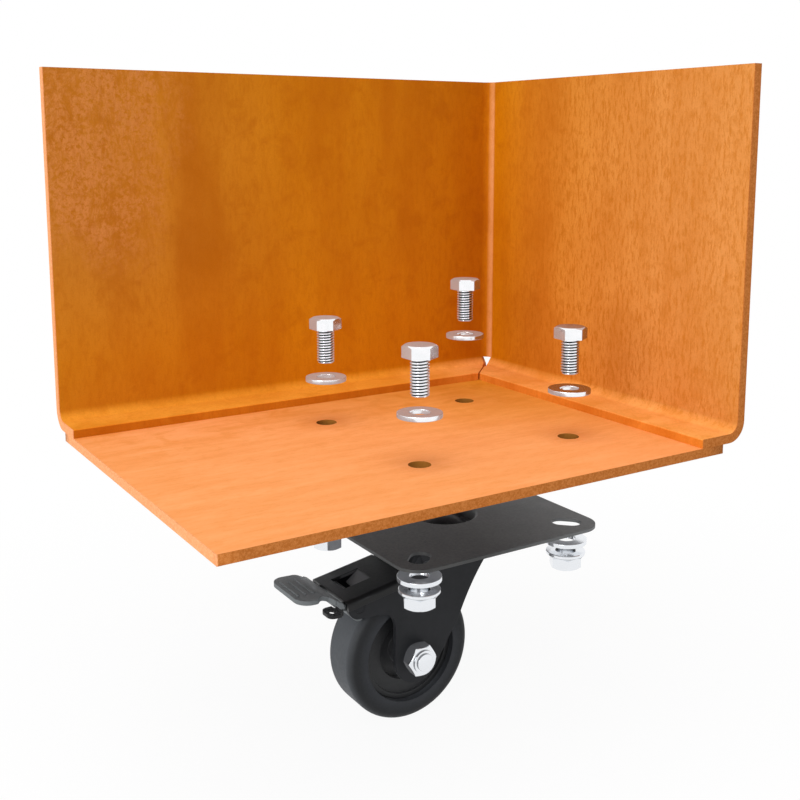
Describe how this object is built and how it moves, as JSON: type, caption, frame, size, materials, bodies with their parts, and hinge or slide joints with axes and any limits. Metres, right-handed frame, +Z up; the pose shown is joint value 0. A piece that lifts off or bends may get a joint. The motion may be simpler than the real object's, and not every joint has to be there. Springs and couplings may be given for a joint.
{
  "type": "rolling planter corner",
  "caption": "Cut-away corner of a folded steel planter on a base plate, with a braked swivel caster and its bolts, washers and nuts drawn apart below and above it.",
  "frame": {"origin": "middle of the footprint of the cut-away corner, on the floor under the wheel", "axes": "+Z up; +Y towards the outer face of the back wall; +X towards the outer face of the side wall, so the corner is at +X +Y"},
  "size_m": [0.25, 0.188, 0.294],
  "materials": {
    "weathering_steel": "rolled weathering steel with an even orange-brown rust patina",
    "base_steel": "weathering steel plate, pale orange young rust",
    "zinc": "bright zinc plated steel",
    "black_steel": "black coated pressed steel, satin",
    "grey_steel": "dark grey coated steel, satin",
    "bearing_steel": "plain oiled bearing steel",
    "black_plastic": "black moulded polyamide",
    "tyre_rubber": "dark grey rubber, smooth"
  },
  "bodies": {
    "planter": {"corner_sheet": "weathering_steel", "base_plate": "base_steel"},
    "top_washers": {"top_washers": "zinc"},
    "bolts": {"hex_bolts": "zinc"},
    "back_washer": {"back_washer": "zinc"},
    "back_bolt": {"back_bolt": "zinc"},
    "caster_mount": {"caster_plate": "black_steel", "upper_race": "bearing_steel", "dust_ring": "black_plastic", "kingpin": "bearing_steel", "lower_race": "bearing_steel"},
    "lower_washers": {"lower_washers": "zinc"},
    "nuts": {"flange_nuts": "zinc"},
    "swivel": {"fork": "black_steel", "upper_balls": "bearing_steel", "lower_balls": "bearing_steel", "brake_housing": "black_steel", "pedal_pin": "black_steel", "axle_bolt": "zinc", "axle_nut": "zinc"},
    "pedal": {"brake_pedal": "grey_steel", "brake_cam": "grey_steel", "release_tongue": "black_steel"},
    "wheel": {"tyre": "tyre_rubber", "wheel_hub": "black_plastic", "wheel_bush": "bearing_steel"}
  },
  "joints": [
    {"name": "washers_down", "type": "slide", "parent": "planter", "child": "top_washers", "axis": [0, 0, -1], "range_m": [0, 0.02018]},
    {"name": "bolts_down", "type": "slide", "parent": "top_washers", "child": "bolts", "axis": [0, 0, -1], "range_m": [0, 0.02268]},
    {"name": "back_washer_down", "type": "slide", "parent": "planter", "child": "back_washer", "axis": [0, 0, -1], "range_m": [0, 0.03288]},
    {"name": "back_bolt_down", "type": "slide", "parent": "back_washer", "child": "back_bolt", "axis": [0, 0, -1], "range_m": [0, 0.02268]},
    {"name": "caster_up", "type": "slide", "parent": "planter", "child": "caster_mount", "axis": [0, 0, 1], "range_m": [0, 0.03618]},
    {"name": "lower_washers_up", "type": "slide", "parent": "caster_mount", "child": "lower_washers", "axis": [0, 0, 1], "range_m": [0, 0.00598]},
    {"name": "nuts_up", "type": "slide", "parent": "lower_washers", "child": "nuts", "axis": [0, 0, 1], "range_m": [0, 0.00368]},
    {"name": "swivel_turn", "type": "hinge", "parent": "caster_mount", "child": "swivel", "pos_m": [0.024, -0.007, 0.0903], "axis": [0, 0, 1], "continuous": true},
    {"name": "pedal_press", "type": "hinge", "parent": "swivel", "child": "pedal", "pos_m": [-0.03, -0.007, 0.062], "axis": [0, -1, 0], "range_deg": [0, 15]},
    {"name": "wheel_spin", "type": "hinge", "parent": "swivel", "child": "wheel", "pos_m": [-0.001, -0.007, 0.032], "axis": [0, 1, 0], "continuous": true}
  ]
}
